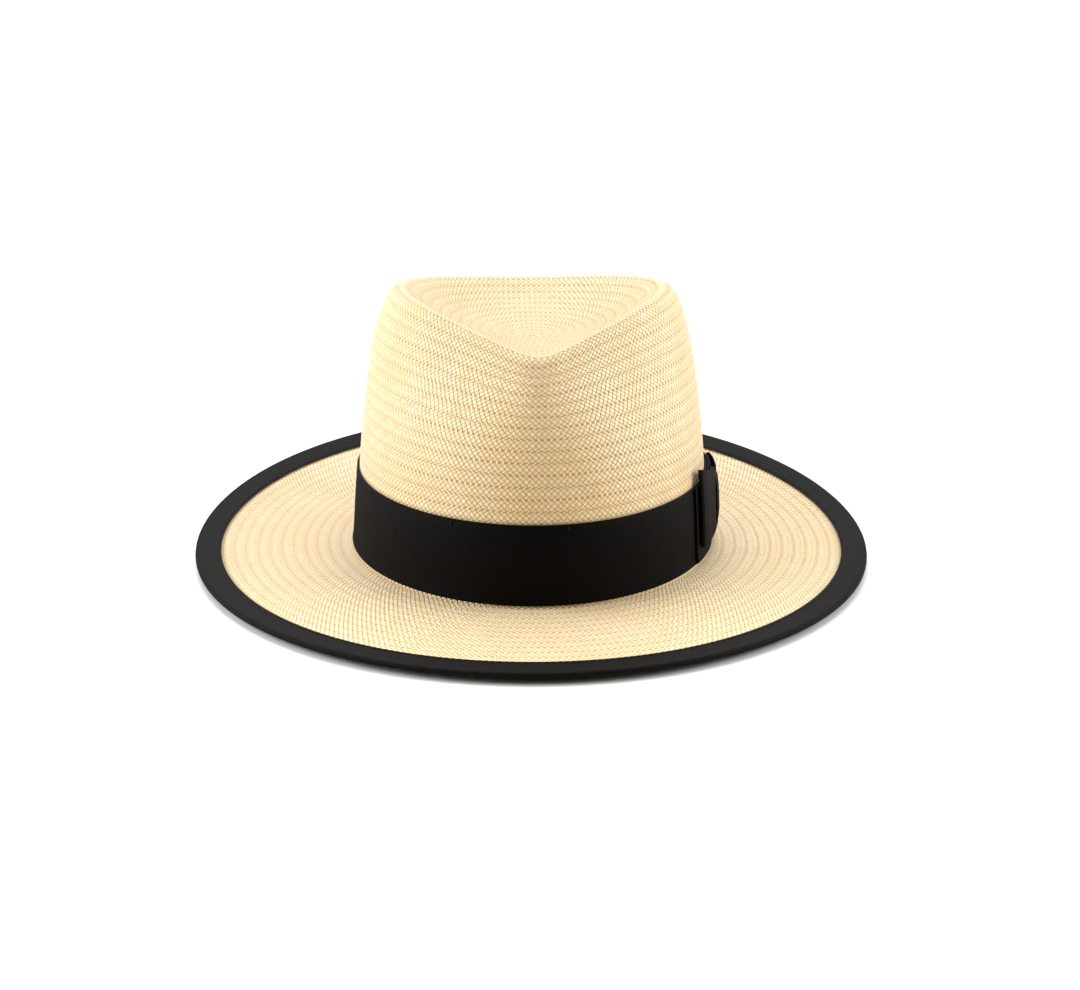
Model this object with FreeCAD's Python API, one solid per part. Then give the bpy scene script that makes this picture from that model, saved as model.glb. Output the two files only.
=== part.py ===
import FreeCAD, Part
import math
import os

os.makedirs("parts", exist_ok=True)
V = FreeCAD.Vector

# Panama hat with a teardrop crown. Millimetres, +Z up.
# The wearer faces -Y, so +X is the wearer's left, where the bow sits.
# The origin is under the middle of the head oval, on the surface the hat stands on.

# ---- head and straw ----
HEAD_HALF_WIDTH = 84.5       # inner face of the sweatband, side to side
HEAD_HALF_LENGTH = 104.5     # inner face of the sweatband, front to back
LEATHER = 1.0                # sweatband leather
STRAW = 1.4                  # woven straw, crown and brim
CLEAR = 0.3                  # between one soft layer and the next
THREAD_CLEAR = 0.1           # between a thread and the face it lies on

# ---- brim ----
BRIM_WIDTH = 77.0            # from the foot of the crown to the cut edge of the straw
BRIM_TOP = 5.2               # upper face of the brim beside the crown
EDGE_FRONT = -0.5            # how far the edge stands above the flat part of the brim
EDGE_SIDE = 1.5
EDGE_BACK = 14.0
BRIM_CURVE = 2.5             # the brim stays flat near the crown and curves near its edge

# ---- crown ----
CREST_HEIGHT = 128.6         # ridge at the sides, above the brim
CREST_HALF_WIDTH = 69.0
CREST_FRONT = 80.0           # reach of the ridge to the front point of the teardrop
CREST_BACK = 77.0
CREST_PINCH = 0.60           # how much the ridge narrows towards its front point
FRONT_DIP = 19.5             # the ridge is this much lower at the front point
BACK_DIP = 12.0              # and this much lower at the back
CROWN_LEAN = 1.2             # the hand-blocked crown leans this much to the wearer's left at its ridge
DISH_HEIGHT = 103.0          # floor of the dish inside the ridge, above the brim

# ---- ribbon ----
RIBBON_WIDTH = 38.0
RIBBON = 0.9
BAND_FOOT = 1.0              # lower edge of the band, above the brim
BINDING_WIDTH = 11.0         # each face of the folded binding
BINDING = 0.5
SEAM_INSET = 1.5             # the binding's seam, from its inner edge
THREAD = 0.5                 # diameter
TACKS = 10                   # stitches along each edge of the band, less those under the bow
TACK_LENGTH = 2.2
TACK_INSET = 0.8             # from the edge of the band

# ---- bow, on the wearer's left ----
BOW_FRONT = -50.0            # front edge of the bow's base tab, along Y
BOW_LENGTH = 66.0
BOW_STEP = 4.5               # each loop starts this much inside the base tab
BOW_RISE_FRONT = 8.0         # the bow leans: its middle line stands this much above the band's
BOW_RISE_KNOT = 5.0
BOW_RISE_REAR = 0.0
LOOP_THICK = 2.0             # a flattened loop, two layers of ribbon and the air between
KNOT_WIDTH = 13.0
KNOT_HEIGHT = 27.0
KNOT_THICK = 1.6
KNOT_TAPER = 0.6             # the knot is this much thinner at its upper and lower ends
GATHER = 2.0                 # the gathered loops are this much narrower than the knot

# ---- sweatband ----
SWEATBAND_HEIGHT = 36.0      # its upper edge above the ground
LEATHER_FREE = 6.0           # the leather hangs straight below this height above the brim
REED_RADIUS = 1.0
STITCH_HEIGHT = 7.4          # the seam that holds the leather in the crown
BACK_BOW_WIDTH = 24.0
BACK_BOW_HEIGHT = 9.0
BACK_BOW_THICK = 1.6
BACK_BOW_DROP = 6.0          # from the upper edge of the leather
TAB_WIDTH = 14.0
TAB_HEIGHT = 16.0
TAB_THICK = 0.4
TAB_ANGLE = math.radians(152)  # round the hat from its front, on the wearer's left

AROUND = 48                  # points round each loop


def angles():
    return [2 * math.pi * i / AROUND for i in range(AROUND)]


def straw_foot():
    """Half width and half length of the straw's outer face where the crown meets the brim."""
    stack = LEATHER + CLEAR + STRAW
    return HEAD_HALF_WIDTH + stack, HEAD_HALF_LENGTH + stack


def front_share(t):
    """1 at the front, falling smoothly to 0 at the back."""
    return ((1 + math.cos(t)) / 2) ** 3


def back_share(t):
    return ((1 - math.cos(t)) / 2) ** 3


def brim_loop(distance, height=None):
    """A loop parallel to the foot of the crown. The edge heights bend the brim as a power of distance."""
    a, b = straw_foot()
    share = (max(distance, 0) / BRIM_WIDTH) ** BRIM_CURVE
    mean = (EDGE_FRONT + 2 * EDGE_SIDE + EDGE_BACK) / 4
    tilt = (EDGE_FRONT - EDGE_BACK) / 2
    cup = (EDGE_FRONT - 2 * EDGE_SIDE + EDGE_BACK) / 4
    loop = []
    for t in angles():
        s, c = math.sin(t), math.cos(t)
        nx, ny = b * s, -a * c
        n = math.hypot(nx, ny)
        rise = (mean + tilt * c + cup * math.cos(2 * t)) * share
        z = BRIM_TOP + (rise if height is None else height)
        loop.append(V(a * s + distance * nx / n, -b * c + distance * ny / n, z))
    return loop


def crown_loop(half_width, front, back, pinch, height, dip):
    """A loop of the crown. pinch narrows its front into a point, dip lowers its front and back."""
    loop = []
    for t in angles():
        s, c = math.sin(t), math.cos(t)
        x = half_width * s * (1 - pinch * front_share(t)) + CROWN_LEAN * height / CREST_HEIGHT
        y = -(front if c > 0 else back) * c
        fall = FRONT_DIP * front_share(t) + BACK_DIP * back_share(t)
        loop.append(V(x, y, BRIM_TOP + height - dip * fall))
    return loop


def straw_loops():
    """Control loops of the straw's outer face, from the brim's edge to the middle of the crown."""
    a, b = straw_foot()
    h = CREST_HEIGHT
    w = CREST_HALF_WIDTH
    d = DISH_HEIGHT
    loops = [brim_loop(BRIM_WIDTH * k) for k in (1, 0.96, 0.88, 0.77, 0.65, 0.52, 0.39, 0.27, 0.16, 0.09)]
    loops.append(brim_loop(4.0, 0.0))
    loops.append(brim_loop(1.9, 0.1))
    loops.append(brim_loop(0.6, 1.0))
    # share of the ridge's height, then half width, front and back reach, and pinch
    walls = (
        (0.03, a + 0.1, b + 0.1, b + 0.1, 0.00),
        (0.10, a - 0.4, b - 0.2, b - 0.3, 0.00),
        (0.20, a - 1.2, b - 0.6, b - 1.0, 0.00),
        (0.30, a - 2.2, b - 1.6, b - 2.2, 0.00),
        (0.41, a - 3.0, b - 3.6, b - 4.4, 0.02),
        (0.52, a - 3.8, b - 7.0, b - 7.6, 0.08),
        (0.62, a - 4.0, b - 11.0, b - 11.0, 0.20),
        (0.71, a - 4.2, b - 15.0, b - 14.4, 0.38),
        (0.79, a - 5.2, b - 18.6, b - 17.8, 0.53),
        (0.86, a - 6.9, b - 21.6, b - 20.8, 0.62),
    )
    for share, half_width, front, back, pinch in walls:
        loops.append(crown_loop(half_width, front, back, pinch, share * h, share ** 3))
    loops.append(crown_loop(w + 8.6, CREST_FRONT + 3.0, CREST_BACK + 6.0, 0.63, h - 9.0, 0.92))
    loops.append(crown_loop(w + 4.8, CREST_FRONT + 0.8, CREST_BACK + 3.6, 0.62, h - 2.6, 0.98))
    loops.append(crown_loop(w - 1.0, CREST_FRONT - 3.2, CREST_BACK - 1.0, CREST_PINCH, h + 0.8, 1.0))
    loops.append(crown_loop(w - 9.0, CREST_FRONT - 9.0, CREST_BACK - 8.0, 0.58, h - 3.4, 0.92))
    loops.append(crown_loop(w - 18.0, CREST_FRONT - 18.0, CREST_BACK - 18.0, 0.52, h - 11.6, 0.60))
    loops.append(crown_loop(w - 31.0, CREST_FRONT - 34.0, CREST_BACK - 33.0, 0.42, d + 5.4, 0.16))
    loops.append(crown_loop(w - 45.0, 28.0, 27.0, 0.20, d + 1.0, 0.0))
    loops.append(crown_loop(10.0, 12.0, 12.0, 0.0, d, 0.0))
    loops.append(crown_loop(0.0, 0.0, 0.0, 0.0, d, 0.0))
    return loops


def closed_curve(loop):
    """A smooth closed curve through the points of a loop."""
    curve = Part.BSplineCurve()
    curve.interpolate(Points=loop, PeriodicFlag=True, Parameters=[float(i) for i in range(len(loop) + 1)])
    return curve


ROUND = closed_curve(brim_loop(0.0))  # every loop shares its knots


def loop_poles(loop):
    spread = max((p - loop[0]).Length for p in loop)
    if spread < 1e-9:
        return [loop[0]] * len(ROUND.getPoles())
    return closed_curve(loop).getPoles()


def surface_from(poles, knots, mults):
    """A cubic surface, periodic round the hat. poles has one row per loop."""
    grid = [[row[i] for row in poles] for i in range(len(poles[0]))]
    surface = Part.BSplineSurface()
    surface.buildFromPolesMultsKnots(
        grid, ROUND.getMultiplicities(), mults, ROUND.getKnots(), knots, True, False, 3, 3
    )
    return surface


def control_surface(loops):
    """A surface pulled by its control loops and clamped at both ends."""
    spans = len(loops) - 3
    knots = [float(i) for i in range(spans + 1)]
    return surface_from([loop_poles(loop) for loop in loops], knots, [4] + [1] * (spans - 1) + [4])


def through_surface(loops, stations):
    """A surface that passes through its loops at the given stations."""
    rows = [loop_poles(loop) for loop in loops]
    lines = []
    for column in zip(*rows):
        line = Part.BSplineCurve()
        line.interpolate(Points=list(column), Parameters=stations)
        lines.append(line)
    poles = [list(row) for row in zip(*[line.getPoles() for line in lines])]
    return surface_from(poles, lines[0].getKnots(), lines[0].getMultiplicities())


def rim_edge(face):
    """The open edge of a domed face."""
    return max(face.Edges, key=lambda edge: edge.Length)


def as_solid(faces):
    sewn = Part.makeCompound(faces)
    sewn.sewShape(0.001)
    solid = Part.makeSolid(sewn.Shells[0])
    if solid.Volume < 0:
        solid.reverse()
    return solid


def level_face(outer, inner):
    """The flat face between two closed edges at one height."""
    return Part.Face(Part.Wire(outer)).cut(Part.Face(Part.Wire(inner))).Faces[0]


def ring(loops, level_foot=False):
    """A closed ring whose section is the polygon of the given loops, taken in order.
    level_foot closes it with a flat face between its first loop and its last, which lie at one height."""
    edges = [closed_curve(loop).toShape() for loop in loops]
    faces = [Part.makeRuledSurface(edges[i - 1], edges[i]) for i in range(1, len(edges))]
    if level_foot:
        faces.append(level_face(edges[0], edges[-1]))
    else:
        faces.append(Part.makeRuledSurface(edges[-1], edges[0]))
    return as_solid(faces)


STRAW_FACE = control_surface(straw_loops())
LAST = len(straw_loops()) - 3.0
SIDE = 0.25 * AROUND         # the surface's parameter at the wearer's left
OUTWARD = math.copysign(1.0, STRAW_FACE.normal(SIDE, LAST / 2).x)


def straw_point(t, station, offset=0.0):
    """A point off the straw's outer face. A positive offset is outside the crown or above the brim."""
    u = t * AROUND / (2 * math.pi)
    p = STRAW_FACE.value(u, station)
    if offset == 0.0:
        return p
    return p + STRAW_FACE.normal(u, station) * (OUTWARD * offset)


def straw_loop(station, offset=0.0):
    return [straw_point(t, station, offset) for t in angles()]


def station_at(height):
    """The station on the crown's side wall whose upper face stands this high above the brim."""
    low, high = 9.0, 24.0
    for _ in range(50):
        mid = (low + high) / 2
        if STRAW_FACE.value(SIDE, mid).z < BRIM_TOP + height:
            low = mid
        else:
            high = mid
    return low


def station_out(distance):
    """The station on the brim this far from the foot of the crown, measured at the side."""
    a = straw_foot()[0]
    low, high = 0.0, 10.0
    for _ in range(50):
        mid = (low + high) / 2
        if STRAW_FACE.value(SIDE, mid).x > a + distance:
            low = mid
        else:
            high = mid
    return low


def make_straw_body():
    per_span = 3
    stations = [i / per_span for i in range(int(LAST) * per_span + 1)]
    inner = [straw_loop(s, -STRAW) for s in stations[:-1]]
    middle = straw_point(0, LAST) - V(0, 0, STRAW)
    inner.append([middle] * AROUND)
    inside = through_surface(inner, stations)
    faces = [STRAW_FACE.toShape(), inside.toShape()]
    faces.append(Part.makeRuledSurface(rim_edge(faces[0]), rim_edge(faces[1])))
    return as_solid(faces)


def nose_loop(angle, radius):
    """A loop round the cut edge of the brim, on a half circle about the middle of the straw."""
    loop = []
    for t in angles():
        top = straw_point(t, 0.0)
        low = straw_point(t, 0.0, -STRAW)
        up = (top - low).normalize()
        a, b = straw_foot()
        out = V(b * math.sin(t), -a * math.cos(t), 0).normalize()
        out = (out - up * out.dot(up)).normalize()
        centre = (top + low) * 0.5
        loop.append(centre + out * (radius * math.cos(angle)) + up * (radius * math.sin(angle)))
    return loop


def make_brim_binding():
    near = STRAW / 2 + CLEAR
    far = near + BINDING
    first = station_out(BRIM_WIDTH - BINDING_WIDTH)
    tops = [first * k for k in (1, 0.75, 0.5, 0.25, 0.02)]
    bends = [math.radians(k) for k in (60, 30, 0, -30, -60)]
    outer = [straw_loop(s, CLEAR + BINDING) for s in tops]
    outer += [nose_loop(k, far) for k in bends]
    outer += [straw_loop(s, -STRAW - CLEAR - BINDING) for s in reversed(tops)]
    inner = [straw_loop(s, CLEAR) for s in tops]
    inner += [nose_loop(k, near) for k in bends]
    inner += [straw_loop(s, -STRAW - CLEAR) for s in reversed(tops)]
    return ring(outer + list(reversed(inner)))


def thread_ring(centres, outs, r, sides):
    """A round cord along a closed line. outs are the directions square to the line, in its section."""
    loops = []
    for k in range(sides):
        angle = 2 * math.pi * k / sides
        loop = []
        for i, centre in enumerate(centres):
            along = (centres[(i + 1) % AROUND] - centres[i - 1]).normalize()
            out = outs[i]
            across = along.cross(out).normalize()
            loop.append(centre + out * (r * math.cos(angle)) + across * (r * math.sin(angle)))
        loops.append(loop)
    return ring(loops)


def make_binding_thread(side):
    """side is 1 for the thread on the upper face of the brim and -1 for the one beneath."""
    station = station_out(BRIM_WIDTH - BINDING_WIDTH + SEAM_INSET)
    level = CLEAR + BINDING + THREAD_CLEAR + THREAD / 2
    offset = level if side > 0 else -STRAW - level
    centres = straw_loop(station, offset)
    further = straw_loop(station, offset + side)
    outs = [(q - p).normalize() for p, q in zip(centres, further)]
    return thread_ring(centres, outs, THREAD / 2, 6)


def band_stations():
    heights = (0.0, 0.7, 1.6, 3.0, 5.5, 10.0, 17.0, 27.0, RIBBON_WIDTH)
    return [station_at(BAND_FOOT + h) for h in heights]


def make_hat_band():
    stations = band_stations()
    inner = [straw_loop(s, CLEAR) for s in stations]
    outer = [straw_loop(s, CLEAR + RIBBON) for s in reversed(stations)]
    return ring(inner + outer)


def side_angle(y):
    """The angle round the hat at which the left side of the band stands at this Y."""
    b = straw_foot()[1] + CLEAR + RIBBON
    return math.acos(max(-1.0, min(1.0, -y / b)))


def band_point(y, height, offset):
    """A point off the outer face of the band, on the wearer's left. height is above the band's foot."""
    station = station_at(BAND_FOOT + height)
    return straw_point(side_angle(y), station, CLEAR + RIBBON + offset)


def slab(under, over):
    """A closed solid between two grids of points that have the same rows and columns."""
    skins = []
    for grid in (under, over):
        surface = Part.BSplineSurface()
        surface.interpolate(grid)
        skins.append(surface)
    faces = [skin.toShape() for skin in skins]
    u0, u1, v0, v1 = skins[0].bounds()
    w0, w1, x0, x1 = skins[1].bounds()
    walls = (
        (skins[0].uIso(u0), skins[1].uIso(w0)),
        (skins[0].uIso(u1), skins[1].uIso(w1)),
        (skins[0].vIso(v0), skins[1].vIso(x0)),
        (skins[0].vIso(v1), skins[1].vIso(x1)),
    )
    for low, high in walls:
        faces.append(Part.makeRuledSurface(low.toShape(), high.toShape()))
    return as_solid(faces)


def steps(first, last, count):
    return [first + (last - first) * i / (count - 1) for i in range(count)]


def bow_slab(lengthwise, foot_and_top, lift, thick, taper=0.0):
    """A piece of the bow over the band. foot_and_top gives its height range at each Y.
    taper thins it towards its upper and lower edges."""
    under, over = [], []
    for y in lengthwise:
        foot, top = foot_and_top(y)
        shares = steps(-1.0, 1.0, 5)
        heights = steps(foot, top, 5)
        under.append([band_point(y, h, lift) for h in heights])
        over.append([band_point(y, h, lift + thick * (1 - taper * k * k)) for h, k in zip(heights, shares)])
    return slab(under, over)


KNOT_Y = BOW_FRONT + BOW_LENGTH / 2
LOOP_LIFT = CLEAR + RIBBON + CLEAR        # from the band to the under side of a loop
KNOT_LIFT = LOOP_LIFT + LOOP_THICK + CLEAR


def make_bow_base_tab():
    def whole_band(y):
        return 0.0, RIBBON_WIDTH

    lengthwise = steps(BOW_FRONT, BOW_FRONT + BOW_LENGTH, 7)
    return bow_slab(lengthwise, whole_band, CLEAR, RIBBON)


def make_bow_loop(front):
    """A flattened loop of ribbon, full width at its fold and gathered where the knot holds it."""
    reach = BOW_LENGTH / 2 - BOW_STEP
    start = KNOT_Y - reach if front else KNOT_Y + reach
    end = KNOT_Y - CLEAR / 2 if front else KNOT_Y + CLEAR / 2
    rise_at_fold = BOW_RISE_FRONT if front else BOW_RISE_REAR
    gathered = KNOT_HEIGHT - GATHER

    def gathering(y):
        share = abs(y - KNOT_Y) / reach
        wide = RIBBON_WIDTH * share + gathered * (1 - share)
        middle = RIBBON_WIDTH / 2 + rise_at_fold * share + BOW_RISE_KNOT * (1 - share)
        return middle - wide / 2, middle + wide / 2

    return bow_slab(steps(start, end, 6), gathering, LOOP_LIFT, LOOP_THICK)


def make_bow_knot():
    def wrapped(y):
        middle = RIBBON_WIDTH / 2 + BOW_RISE_KNOT
        return middle - KNOT_HEIGHT / 2, middle + KNOT_HEIGHT / 2

    lengthwise = steps(KNOT_Y - KNOT_WIDTH / 2, KNOT_Y + KNOT_WIDTH / 2, 4)
    return bow_slab(lengthwise, wrapped, KNOT_LIFT, KNOT_THICK, KNOT_TAPER)


def make_band_stitches():
    """Short stitches that tack the band to the crown, spread round its upper and lower edges."""
    r = THREAD / 2
    lift = CLEAR + RIBBON + THREAD_CLEAR + r
    stitches = []
    under_bow = side_angle(BOW_FRONT - TACK_LENGTH), side_angle(BOW_FRONT + BOW_LENGTH + TACK_LENGTH)
    for i in range(TACKS):
        t = 2 * math.pi * (i + 0.25) / TACKS
        if under_bow[0] < t < under_bow[1]:
            continue
        for height in (TACK_INSET, RIBBON_WIDTH - TACK_INSET - TACK_LENGTH):
            a = straw_point(t, station_at(BAND_FOOT + height), lift)
            b = straw_point(t, station_at(BAND_FOOT + height + TACK_LENGTH), lift)
            stitches.append(Part.makeCylinder(r, (b - a).Length, a, b - a))
    return Part.makeCompound(stitches)


def leather_loop(height, offset):
    """A loop on the sweatband at a height above the ground. offset is from its outer face, inwards."""
    level = -(STRAW + CLEAR + offset)
    lowest = station_at(LEATHER_FREE)
    if height >= BRIM_TOP + LEATHER_FREE:
        return straw_loop(station_at(height - BRIM_TOP), level)
    return [V(p.x, p.y, height) for p in straw_loop(lowest, level)]


def make_sweatband():
    bend = BRIM_TOP + LEATHER_FREE
    heights = [0.0, bend / 2, bend] + steps(bend, SWEATBAND_HEIGHT, 5)[1:]
    outer = [leather_loop(h, 0.0) for h in heights]
    inner = [leather_loop(h, LEATHER) for h in reversed(heights)]
    return ring(outer + inner, level_foot=True)


def make_reed():
    """The cord along the foot of the sweatband, on its outer side."""
    centres = leather_loop(REED_RADIUS, -(CLEAR + REED_RADIUS))
    further = leather_loop(REED_RADIUS, -(CLEAR + REED_RADIUS + 1.0))
    outs = [(q - p).normalize() for p, q in zip(centres, further)]
    return thread_ring(centres, outs, REED_RADIUS, 12)


def make_sweatband_stitching():
    level = LEATHER + THREAD_CLEAR + THREAD / 2
    centres = leather_loop(STITCH_HEIGHT, level)
    further = leather_loop(STITCH_HEIGHT, level + 1.0)
    outs = [(q - p).normalize() for p, q in zip(centres, further)]
    return thread_ring(centres, outs, THREAD / 2, 6)


def back_slab(middle_t, width, foot, top, inner, outer):
    """A thin piece inside the crown. inner and outer are its depths from the straw's outer face."""
    half = width / 2 / straw_foot()[0]
    grids = []
    for depth in (inner, outer):
        grid = []
        for t in steps(middle_t - half, middle_t + half, 5):
            grid.append([straw_point(t, station_at(h), -depth) for h in steps(foot, top, 4)])
        grids.append(grid)
    return slab(grids[0], grids[1])


def make_back_bow():
    depth = STRAW + CLEAR + LEATHER + CLEAR
    foot = SWEATBAND_HEIGHT - BRIM_TOP - BACK_BOW_DROP - BACK_BOW_HEIGHT
    return back_slab(math.pi, BACK_BOW_WIDTH, foot, foot + BACK_BOW_HEIGHT, depth, depth + BACK_BOW_THICK)


def make_size_tab():
    depth = STRAW + CLEAR
    foot = SWEATBAND_HEIGHT - BRIM_TOP + CLEAR
    return back_slab(TAB_ANGLE, TAB_WIDTH, foot, foot + TAB_HEIGHT, depth, depth + TAB_THICK)


PIECES = {
    "straw_body": make_straw_body,
    "brim_binding": make_brim_binding,
    "binding_stitching_top": lambda: make_binding_thread(1),
    "binding_stitching_under": lambda: make_binding_thread(-1),
    "hat_band": make_hat_band,
    "band_tack_stitches": make_band_stitches,
    "bow_base_tab": make_bow_base_tab,
    "bow_front_loop": lambda: make_bow_loop(True),
    "bow_rear_loop": lambda: make_bow_loop(False),
    "bow_knot": make_bow_knot,
    "sweatband": make_sweatband,
    "sweatband_reed": make_reed,
    "sweatband_stitching": make_sweatband_stitching,
    "sweatband_back_bow": make_back_bow,
    "size_tab": make_size_tab,
}

for name, make in PIECES.items():
    shape = make()
    print(name, "valid" if shape.isValid() else "NOT VALID", round(shape.Volume), "mm3")
    shape.exportStep("parts/" + name + ".step")
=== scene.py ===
# %% [markdown]
# # A panama hat: woven straw, grosgrain ribbon and leather
# The hat is one woven cloth of palm straw, blocked into a teardrop crown and a flat brim. A folded
# ribbon binds the cut edge, a wide ribbon with a flat bow hides the foot of the crown, and a leather
# sweatband is sewn inside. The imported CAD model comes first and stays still, because every soft
# piece below is built in its frame and stands for one of its nodes.

import bpy
import numpy as np
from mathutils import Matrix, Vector


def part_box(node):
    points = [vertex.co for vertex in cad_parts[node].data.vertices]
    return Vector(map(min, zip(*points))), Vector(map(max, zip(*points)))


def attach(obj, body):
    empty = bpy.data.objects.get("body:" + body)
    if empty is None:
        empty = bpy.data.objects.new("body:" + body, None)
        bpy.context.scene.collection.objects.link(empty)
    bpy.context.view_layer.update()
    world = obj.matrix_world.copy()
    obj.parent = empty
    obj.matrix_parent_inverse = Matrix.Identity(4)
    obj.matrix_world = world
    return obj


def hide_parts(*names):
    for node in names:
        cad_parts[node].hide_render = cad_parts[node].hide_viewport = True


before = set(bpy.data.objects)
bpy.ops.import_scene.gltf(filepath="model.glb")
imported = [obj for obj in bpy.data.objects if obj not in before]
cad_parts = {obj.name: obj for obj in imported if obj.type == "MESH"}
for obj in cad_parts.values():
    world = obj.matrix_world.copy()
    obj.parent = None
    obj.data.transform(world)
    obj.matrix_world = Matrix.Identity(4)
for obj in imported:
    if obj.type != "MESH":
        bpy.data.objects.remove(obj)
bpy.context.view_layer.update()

# %% [markdown]
# ## Sizes
# Every size is in millimetres, as a hatter would give it, and becomes metres only when a mesh is
# made. Those that shape the hat are the CAD model's, so both describe the same hat, but for the
# bow: here it sits 4 mm further forward and its loops reach 1 mm further.

# %% Sizes of the straw
MM = 0.001
LEATHER = 1.0
CLEAR = 0.3                   # air between one soft layer and the next
STRAW = 1.4
FOOT_WIDTH = 84.5 + LEATHER + CLEAR + STRAW      # half the crown's foot, side to side
FOOT_LENGTH = 104.5 + LEATHER + CLEAR + STRAW    # half the crown's foot, front to back
BRIM_WIDTH = 77.0
BRIM_TOP = 5.2                # the brim's upper face beside the crown
EDGE_FRONT, EDGE_SIDE, EDGE_BACK = -0.5, 1.5, 14.0
BRIM_CURVE = 2.5
CREST_HEIGHT = 128.6
CREST_HALF_WIDTH = 69.0
CREST_FRONT, CREST_BACK = 80.0, 77.0
CREST_PINCH = 0.60
FRONT_DIP, BACK_DIP = 19.5, 12.0
CROWN_LEAN = 1.2
DISH_HEIGHT = 103.0
print("foot of the crown, across and along:", 2 * FOOT_WIDTH, 2 * FOOT_LENGTH)

# %% [markdown]
# ## The blocked straw as one smooth surface
# A hatter steams the woven cloth over a wooden block, so crown and brim are one surface with no
# seam. Subdivision of a rough cage could give it, but a spline whose control loops are formulas is
# exact, costs nothing and can be asked for a point anywhere. The angle t runs round the hat from its
# front, and the station s runs up a line of the cloth from the cut edge to the middle of the crown.


# %% Loops of the brim and of the crown
def front_share(t):
    """1 at the front of the hat, falling smoothly to 0 at its back: ((1 + cos t) / 2) cubed."""
    return ((1 + np.cos(t)) / 2) ** 3


def brim_loop(t, distance, height=None):
    """The foot's ellipse moved out by distance along its normal. It rises by the edge's height at
    that angle, which a mean, a cosine and a double cosine give, times (distance / width) ** 2.5."""
    normal_x, normal_y = FOOT_LENGTH * np.sin(t), -FOOT_WIDTH * np.cos(t)
    length = np.hypot(normal_x, normal_y)
    mean = (EDGE_FRONT + 2 * EDGE_SIDE + EDGE_BACK) / 4
    tilt = (EDGE_FRONT - EDGE_BACK) / 2
    cup = (EDGE_FRONT - 2 * EDGE_SIDE + EDGE_BACK) / 4
    rise = (mean + tilt * np.cos(t) + cup * np.cos(2 * t)) * (distance / BRIM_WIDTH) ** BRIM_CURVE
    x = FOOT_WIDTH * np.sin(t) + distance * normal_x / length
    y = -FOOT_LENGTH * np.cos(t) + distance * normal_y / length
    return np.stack([x, y, BRIM_TOP + (rise if height is None else height + 0 * t)])


def crown_loop(t, half_width, front, back, pinch, height, dip):
    """An oval with its own reach to the front and the back. pinch narrows its front to a point, dip
    lowers its front and back, and the whole oval leans a little to the wearer's left as it rises."""
    x = half_width * np.sin(t) * (1 - pinch * front_share(t)) + CROWN_LEAN * height / CREST_HEIGHT
    y = -np.where(np.cos(t) > 0, front, back) * np.cos(t)
    fall = FRONT_DIP * front_share(t) + BACK_DIP * front_share(np.pi - t)
    return np.stack([x, y, BRIM_TOP + height - dip * fall])


print("cut edge at the front, in millimetres:", brim_loop(np.zeros(1), BRIM_WIDTH).ravel().round(1))


# %% Control loops of the straw
def control_loops(t):
    """All the control loops at the angles t, as an array of (loop, axis, angle). brim holds shares of
    the brim's width; bend, distances out and heights; walls, the share of the height, half width,
    front, back and pinch; and ridge, half width, front, back, pinch, height and dip."""
    a, b, h, w, d = FOOT_WIDTH, FOOT_LENGTH, CREST_HEIGHT, CREST_HALF_WIDTH, DISH_HEIGHT
    brim = (1, 0.96, 0.88, 0.77, 0.65, 0.52, 0.39, 0.27, 0.16, 0.09)
    bend = ((4.0, 0.0), (1.9, 0.1), (0.6, 1.0))
    walls = (
        (0.03, a + 0.1, b + 0.1, b + 0.1, 0.00),
        (0.10, a - 0.4, b - 0.2, b - 0.3, 0.00),
        (0.20, a - 1.2, b - 0.6, b - 1.0, 0.00),
        (0.30, a - 2.2, b - 1.6, b - 2.2, 0.00),
        (0.41, a - 3.0, b - 3.6, b - 4.4, 0.02),
        (0.52, a - 3.8, b - 7.0, b - 7.6, 0.08),
        (0.62, a - 4.0, b - 11.0, b - 11.0, 0.20),
        (0.71, a - 4.2, b - 15.0, b - 14.4, 0.38),
        (0.79, a - 5.2, b - 18.6, b - 17.8, 0.53),
        (0.86, a - 6.9, b - 21.6, b - 20.8, 0.62),
    )
    ridge = (
        (w + 8.6, CREST_FRONT + 3.0, CREST_BACK + 6.0, 0.63, h - 9.0, 0.92),
        (w + 4.8, CREST_FRONT + 0.8, CREST_BACK + 3.6, 0.62, h - 2.6, 0.98),
        (w - 1.0, CREST_FRONT - 3.2, CREST_BACK - 1.0, CREST_PINCH, h + 0.8, 1.0),
        (w - 9.0, CREST_FRONT - 9.0, CREST_BACK - 8.0, 0.58, h - 3.4, 0.92),
        (w - 18.0, CREST_FRONT - 18.0, CREST_BACK - 18.0, 0.52, h - 11.6, 0.60),
        (w - 31.0, CREST_FRONT - 34.0, CREST_BACK - 33.0, 0.42, d + 5.4, 0.16),
        (w - 45.0, 28.0, 27.0, 0.20, d + 1.0, 0.0),
        (10.0, 12.0, 12.0, 0.0, d, 0.0),
        (0.0, 0.0, 0.0, 0.0, d, 0.0),
    )
    loops = [brim_loop(t, BRIM_WIDTH * k) for k in brim]
    loops += [brim_loop(t, out, up) for out, up in bend]
    loops += [crown_loop(t, *wall[1:], wall[0] * h, wall[0] ** 3) for wall in walls]
    loops += [crown_loop(t, *loop) for loop in ridge]
    return np.stack(loops)


LAST = len(control_loops(np.zeros(1))) - 3.0
print("stations from the cut edge to the middle of the crown:", LAST)


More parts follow.
